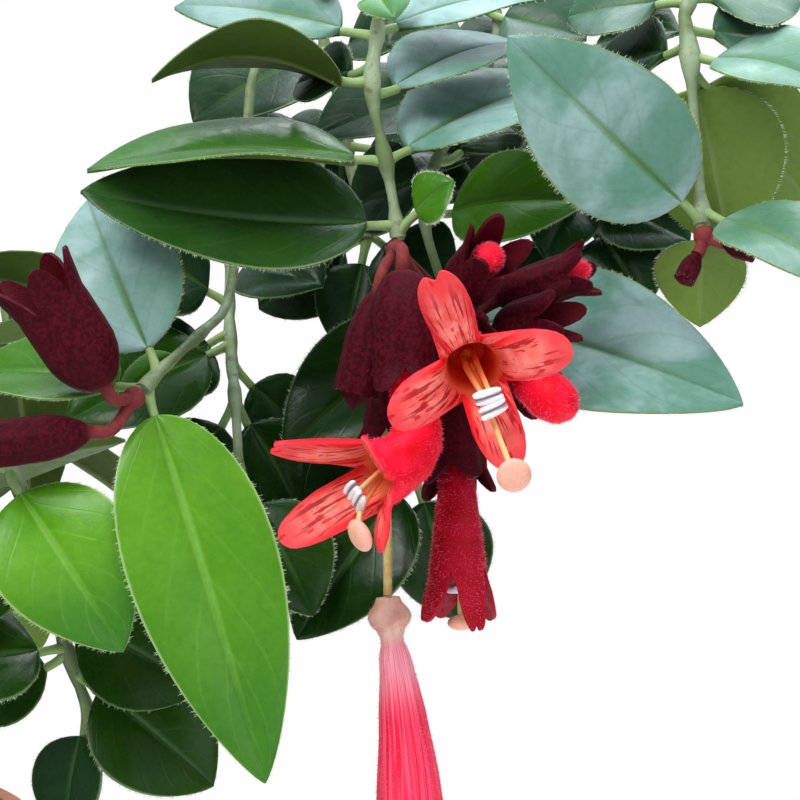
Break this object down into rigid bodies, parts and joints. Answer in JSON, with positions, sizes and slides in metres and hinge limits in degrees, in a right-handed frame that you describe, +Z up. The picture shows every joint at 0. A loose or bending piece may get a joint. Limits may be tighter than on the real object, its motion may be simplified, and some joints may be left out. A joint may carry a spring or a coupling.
{
  "type": "potted lipstick plant",
  "caption": "Lipstick plant in a plain round pot: arching leafy stems with glossy leaves and clusters of maroon calyces with red tubular flowers.",
  "frame": {"origin": "middle of the pot's flat foot, on the surface it stands on", "axes": "+Z up along the pot's axis; the pictured flowers hang on the +X side and face -Y"},
  "size_m": [0.3587, 0.3605, 0.2842],
  "materials": {
    "pot_plastic": "matt, lightly grained",
    "soil": "loose dark potting mix",
    "leaf": "glossy thick leaf, matt pale underside",
    "stem": "green stem, brownish towards its foot",
    "calyx": "dark maroon with a down of pale hairs",
    "petal": "scarlet, downy outside",
    "throat": "orange with dark red stripes",
    "stamen": "cream and pale grey",
    "style": "yellow-green"
  },
  "bodies": {
    "root": {"bud_02": "petal", "bud_04": "petal", "bud_06": "petal", "bud_pale": "petal", "bud_round": "petal", "bud_small": "petal", "calyces_02": "calyx", "calyces_04": "calyx", "calyces_06": "calyx", "calyces_left": "calyx", "calyces_main": "calyx", "calyces_right": "calyx", "corolla_02": "petal", "corolla_04": "petal", "corolla_06": "petal", "corolla_down": "petal", "corolla_facing": "petal", "corolla_fallen": "petal", "corolla_left": "petal", "pot": "pot_plastic", "shoot_01": "leaf", "shoot_02": "leaf", "shoot_03": "leaf", "shoot_04": "leaf", "shoot_05": "leaf", "shoot_06": "leaf", "shoot_07": "leaf", "shoot_08": "leaf", "shoot_09": "leaf", "shoot_10": "leaf", "shoot_11": "leaf", "shoot_back_left": "leaf", "shoot_back_right": "leaf", "shoot_front_hanging": "leaf", "shoot_front_hooked": "leaf", "shoot_front_low": "leaf", "shoot_front_middle": "leaf", "shoot_front_plumb": "leaf", "shoot_front_right": "leaf", "soil": "soil", "stamens_02": "stamen", "stamens_04": "stamen", "stamens_06": "stamen", "stamens_down": "stamen", "stamens_facing": "stamen", "stamens_left": "stamen", "style_hanging": "style"}
  },
  "joints": []
}
